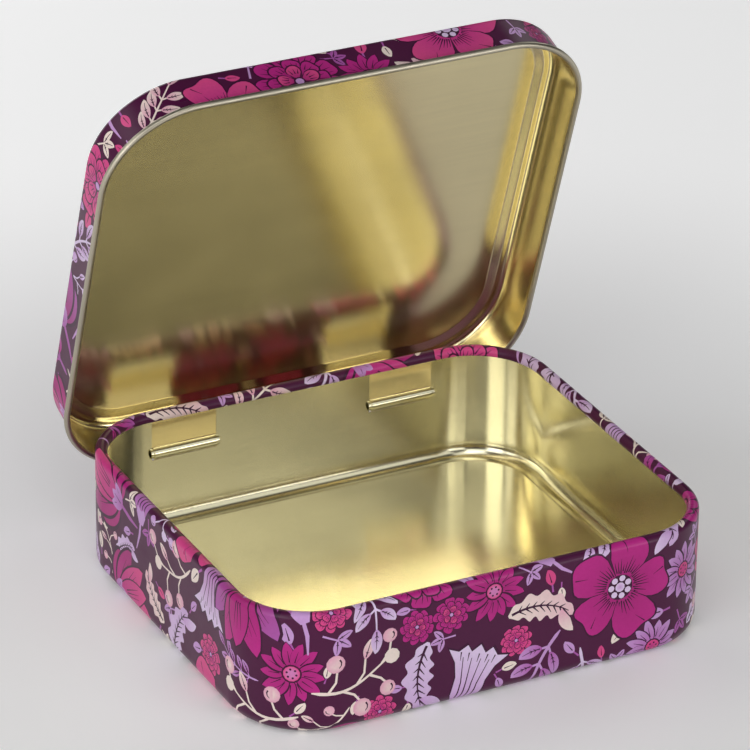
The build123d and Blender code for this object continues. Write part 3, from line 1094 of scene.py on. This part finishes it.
def on_lid(flat):
    """Places on the open lid's outer face, from flat places."""
    out, q = lid_split(flat)
    u, z, nu, nz = profile_at(lid_line, lid_run[edge_at] + q, -1)
    beyond = q > 0
    inset = np.where(beyond, u, LID_EDGE_R)
    xy = np.where(beyond[:, None], flat - out * (q + inset - LID_EDGE_R)[:, None], flat)
    order = np.argsort(lid_line[0][:edge_at + 1, 0])
    face = (lid_line[0] - lid_line[1] * SHEET / 2)[order]
    z_in, nu_in, nz_in = (np.interp(LID_EDGE_R - q, face[:, 0], values)
                          for values in (face[:, 1], -lid_line[1][order, 0], -lid_line[1][order, 1]))
    half_x, half_y = LID_L / 2 - lid_line[0][0, 0], LID_D / 2 - lid_line[0][0, 0]
    z_in = z_in + panel_lift(flat[:, 0], flat[:, 1], half_x, half_y, *LID_WAVE)
    z = np.where(beyond, z, z_in) + LID_EDGE_Z
    nu, nz = np.where(beyond, nu, nu_in), np.where(beyond, nz, nz_in)
    normal = np.concatenate([-out * nu[:, None], nz[:, None]], 1)
    return open_lid(np.concatenate([xy, z[:, None]], 1)), open_lid(normal, (0, 0))


def ray(cx, cy, angle, distances):
    """Points on a line out from a corner's centre, at distances beyond the start of the edge radius."""
    a = math.radians(angle)
    return [(cx + (FLAT_R + q) * math.cos(a), cy + (FLAT_R + q) * math.sin(a)) for q in distances]


def contour(q):
    """The flat closed line at a distance beyond the start of the lid's edge radius."""
    points = []
    for cx, cy, first in CORNERS:
        for k in range(CORNER_PARTS + 1):
            points += ray(cx, cy, first + 90 * k / CORNER_PARTS, (q,))
    return points + points[:1]


def print_lid():
    """The lid's coat: its top, and four strips round its edge that meet in the middle of each corner."""
    width, height = LID_L + 2 * skirt_end, LID_D + 2 * skirt_end
    design = [([(x - width / 2, y - height / 2) for x, y in outline], middle, rim,
               (cx - width / 2, cy - height / 2), reach)
              for outline, middle, rim, (cx, cy), reach in compose(width, height, 0, 23)]
    grid_x, grid_y = (np.arange(-reach, reach + 1, PRINT_GRID) for reach in GRID_REACH)
    lines = [contour(-(u - LID_EDGE_R)) for u in lid_line[0][:edge_at, 0]] + [contour(0.0)]
    lines += [[(x, y)] for x in grid_x for y in grid_y]
    top = skin("lid_print_top", design, lines, lambda q: lid_split(q)[1] < 0, on_lid)
    carry(top, *LID, "printed_tinplate")
    folds = list(lid_run[edge_at:edge_at + EDGE_PARTS + 1:2] - lid_run[edge_at]) + [notch_start, skirt_end]
    for side, axis, sign in (("rear", 1, 1), ("left", 0, -1), ("front", 1, -1), ("right", 0, 1)):
        def keep(q, axis=axis, sign=sign, rear=side == "rear"):
            out, beyond = lid_split(q)
            mine = (np.abs(out[:, axis]) > np.abs(out[:, 1 - axis])) & (out[:, axis] * sign > 0)
            mine &= (beyond > 0) & (beyond < skirt_end)
            if rear:
                mine &= ~((np.abs(np.abs(q[:, 0]) - HINGE_X) < NOTCH_W / 2) & (beyond > notch_start))
            return mine

        lines = [contour(q) for q in folds]
        for cx, cy, first in CORNERS:
            if (cx, cy)[axis] * sign > 0:
                lines += [ray(cx, cy, first + 90 * k / CORNER_PARTS, (0, skirt_end))
                          for k in range(CORNER_PARTS + 1)]
        if side == "rear":
            wall = CORNER_Y + FLAT_R
            lines += [[(x, wall), (x, wall + skirt_end)] for x in opening_ends(NOTCH_W)]
        carry(skin("lid_print_" + side, design, lines, keep, on_lid), *LID, "printed_tinplate")


print_base()
print_lid()

# ---------------------------------------------------------------- floor, light and camera
FLOOR_HALF = 19.0              # metres, as all below
# the floor's own glow grows away from the tin, which leaves a painted pool of shade round the tin: distances
# between which it grows, and by how much
PAINTED_SHADE_GLOW = 0.13
GLOW_STEPS = ((0.10, 0.27, 0.23), (0.60, 1.40, 0.44))
# a ring of softboxes a metre from the tin: azimuth from the front, elevation, level
SOFTBOX = 0.425
TARGET = Vector((0, 0, 0.04))
SOFTBOXES = ((-60, 5, 4.6), (-60, 30, 2.0), (-30, 58, 1.15), (-30, 42, 1.4), (-15, 58, 0.4),
             (-90, 20, 1.8), (0, 20, 1.4), (15, 20, 0.5), (30, 5, 3.8), (30, 42, 0.9),
             (0, 70, 0.8), (-120, 35, 2.0), (120, 35, 1.5), (180, 12, 4.5))
WORLD_LEVEL = 0.04
# the camera: where it stands from the tin, its roll, and its place and focal length in mm and pixels
AZIMUTH, ELEVATION, ROLL = math.radians(-27.22), math.radians(26.91), math.radians(0.75)
DISTANCE, SHIFT_X, SHIFT_Y = 1219.6, -4.21, 50.98
FOCAL_PX, PICTURE_PX, SENSOR = 5108.0, 750, 36.0
scene = bpy.context.scene


def floor_material():
    """White matt floor, which also glows where it is seen, mirrored or seen through glass; the glow is weaker
    near the tin, a painted pool of shade round it.
    """
    m, tree, bsdf = new_material("floor_white")
    feed(tree, bsdf, {"Base Color": (0.88, 0.88, 0.88, 1), "Roughness": 0.6})
    ray_kinds = tree.nodes.new("ShaderNodeLightPath").outputs
    seen = combine(tree, "MAXIMUM", ray_kinds["Is Camera Ray"], ray_kinds["Is Glossy Ray"])
    seen = combine(tree, "MAXIMUM", seen, ray_kinds["Is Transmission Ray"])
    here = add_node(tree, "ShaderNodeNewGeometry", {}, "Position")
    distance = add_node(tree, "ShaderNodeVectorMath", {0: here}, "Value", operation="LENGTH")
    # painted shade: the glow starts low by the tin and grows away from it
    level = PAINTED_SHADE_GLOW
    for start, stop, rise in GLOW_STEPS:
        grown = add_node(tree, "ShaderNodeMapRange", {"Value": distance, "From Min": start, "From Max": stop,
                                                      "To Min": 0, "To Max": rise},
                         "Result", interpolation_type="SMOOTHSTEP")
        level = combine(tree, "ADD", grown, level)
    glow = add_node(tree, "ShaderNodeEmission", {"Strength": combine(tree, "MULTIPLY", seen, level)})
    both = add_node(tree, "ShaderNodeAddShader", {0: bsdf.outputs[0], 1: glow})
    feed(tree, tree.nodes["Material Output"], {"Surface": both})
    return m


def softbox(azimuth, elevation, level):
    """A square area light, aimed at the tin."""
    a, e = math.radians(azimuth), math.radians(elevation)
    way = Vector((math.sin(a) * math.cos(e), -math.cos(a) * math.cos(e), math.sin(e)))
    name = "softbox_%d_%d" % (azimuth, elevation)
    data = bpy.data.lights.new(name, "AREA")
    data.shape = "RECTANGLE"
    data.size = data.size_y = SOFTBOX
    data.energy = math.pi * SOFTBOX ** 2 * level
    lamp = bpy.data.objects.new(name, data)
    scene.collection.objects.link(lamp)
    lamp.location = TARGET + way
    lamp.rotation_euler = (TARGET - lamp.location).to_track_quat("-Z", "Y").to_euler()


def add_camera():
    """The camera, turned about the tin and rolled, with the tin's middle moved to its place."""
    back = Vector((math.sin(AZIMUTH) * math.cos(ELEVATION), -math.cos(AZIMUTH) * math.cos(ELEVATION),
                   math.sin(ELEVATION)))
    right = Vector((0, 0, 1)).cross(back).normalized()
    up = back.cross(right)
    right, up = right * math.cos(ROLL) + up * math.sin(ROLL), up * math.cos(ROLL) - right * math.sin(ROLL)
    data = bpy.data.cameras.new("camera")
    data.sensor_width = SENSOR
    data.sensor_fit = "HORIZONTAL"
    data.lens = FOCAL_PX / PICTURE_PX * SENSOR
    data.clip_start, data.clip_end = 0.1, 20
    camera = bpy.data.objects.new("camera", data)
    scene.collection.objects.link(camera)
    at = (right * SHIFT_X + up * SHIFT_Y + back * DISTANCE) * MM
    camera.matrix_world = Matrix.Translation(at) @ Matrix((right, up, back)).transposed().to_4x4()
    scene.camera = camera


floor_mesh = bpy.data.meshes.new("floor")
floor_mesh.from_pydata([(x * FLOOR_HALF, y * FLOOR_HALF, 0) for x, y in ((-1, -1), (1, -1), (1, 1), (-1, 1))],
                       [], [(0, 1, 2, 3)])
floor_mesh.materials.append(floor_material())
floor = bpy.data.objects.new("floor", floor_mesh)
scene.collection.objects.link(floor)

scene.world = bpy.data.worlds.new("studio")
scene.world.use_nodes = True
feed(scene.world.node_tree, scene.world.node_tree.nodes["Background"],
     {"Color": (1, 1, 1, 1), "Strength": WORLD_LEVEL})
for box in SOFTBOXES:
    softbox(*box)
add_camera()

scene.view_settings.view_transform = "Standard"
scene.cycles.glossy_bounces = 12
